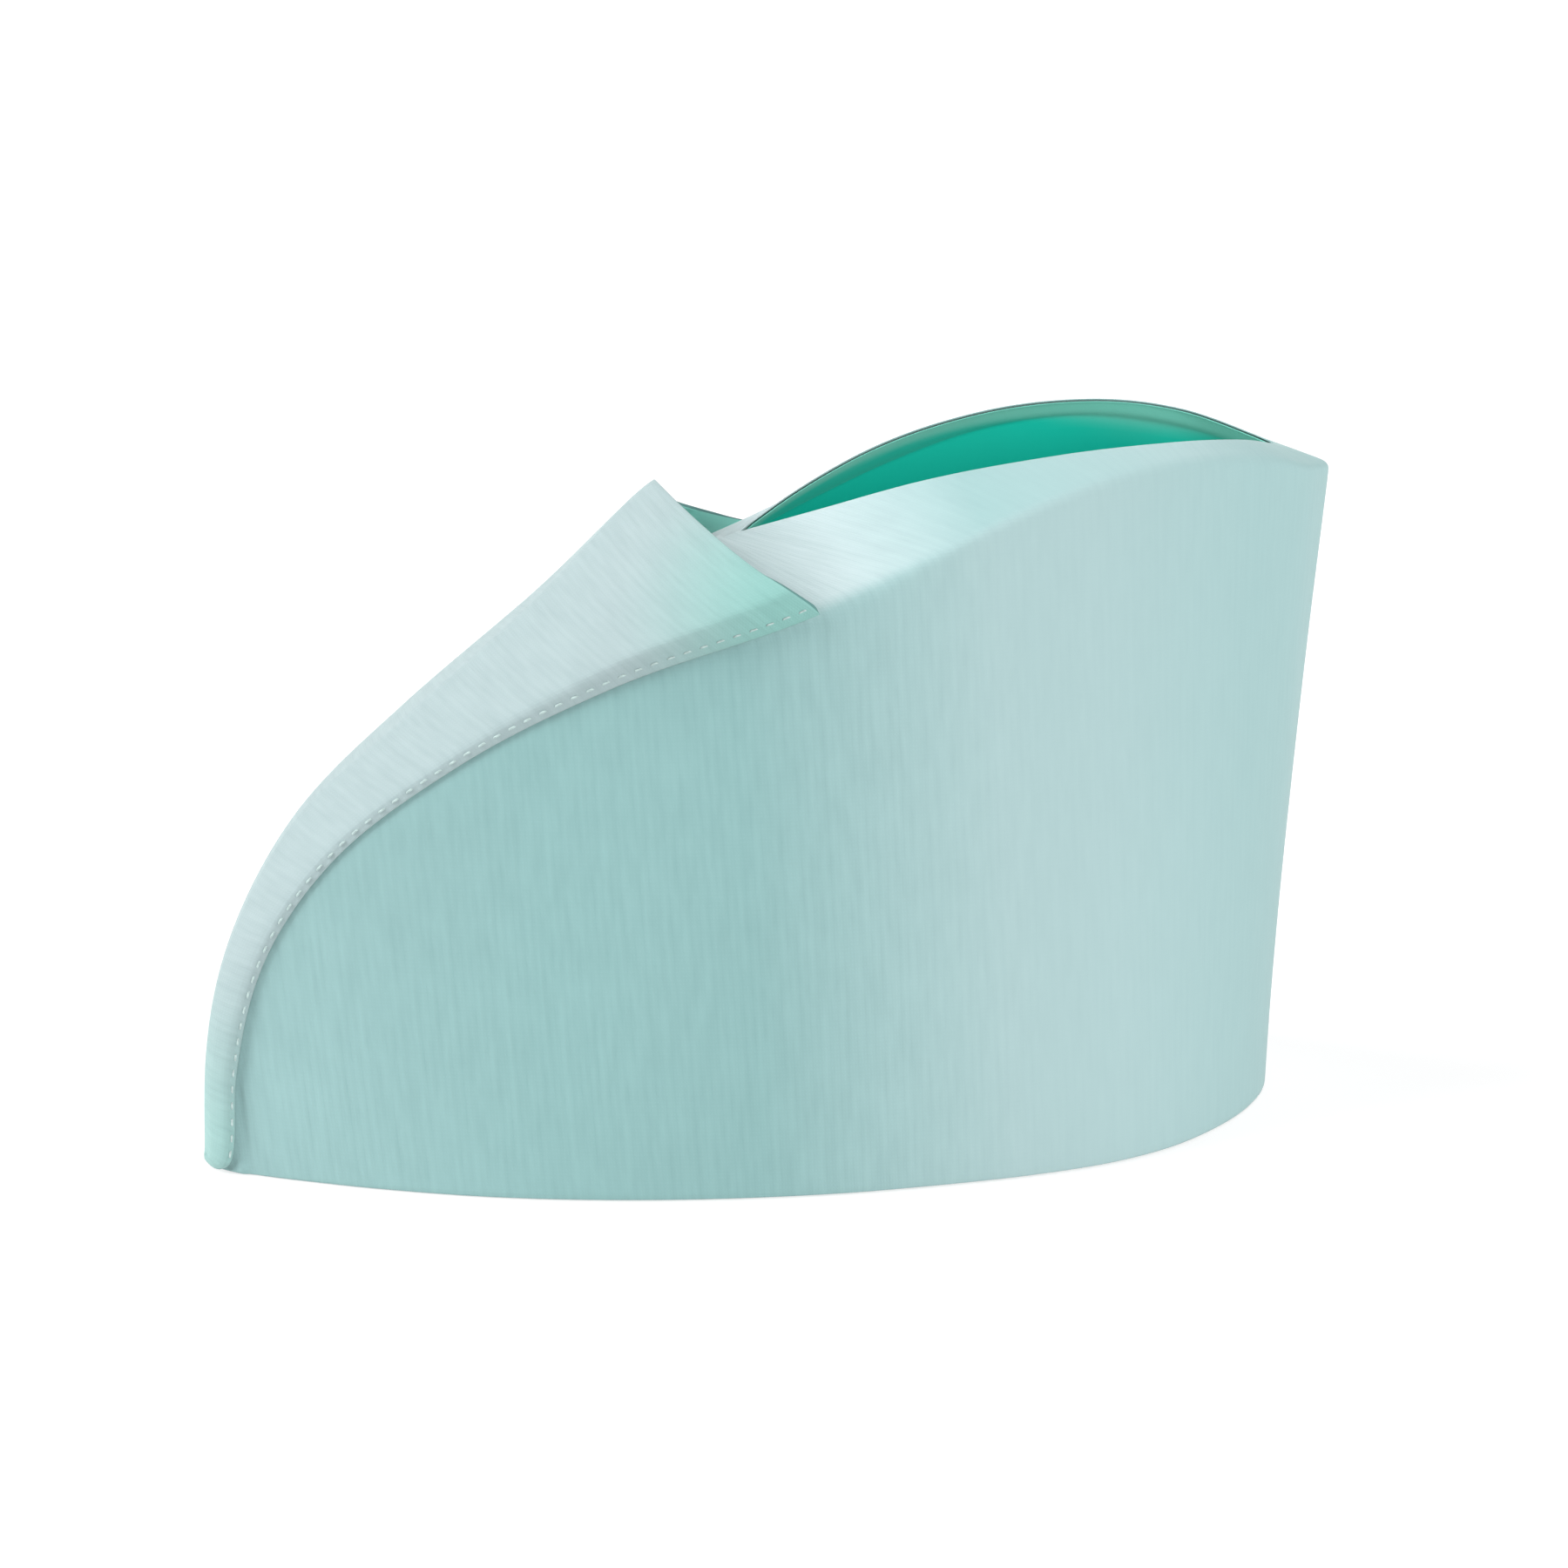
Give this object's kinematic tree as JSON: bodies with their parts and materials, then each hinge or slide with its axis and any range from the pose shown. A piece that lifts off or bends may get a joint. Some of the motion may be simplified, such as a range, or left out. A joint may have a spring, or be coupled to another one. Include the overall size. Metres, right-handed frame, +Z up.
{
  "type": "nurse cap",
  "caption": "Stiff cloth nurse cap: tall rounded front, top folded in around a lens-shaped opening, deep teal lining and a back flap rising to a peak.",
  "frame": {"origin": "on the floor, under the middle of the cap's box, with the cap standing on its hem", "axes": "+X towards the tall front of the cap, +Y across it, +Z up"},
  "size_m": [0.254, 0.119, 0.1485],
  "materials": {
    "outer_cloth": "matt pale aqua cloth with a fine upright rib",
    "lining_cloth": "matt deep teal cloth",
    "flap_cloth": "matt pale aqua cloth, a shade lighter",
    "thread": "matt pale sewing thread"
  },
  "bodies": {
    "root": {"band": "outer_cloth", "lining": "lining_cloth", "back_flap": "flap_cloth"}
  },
  "joints": []
}
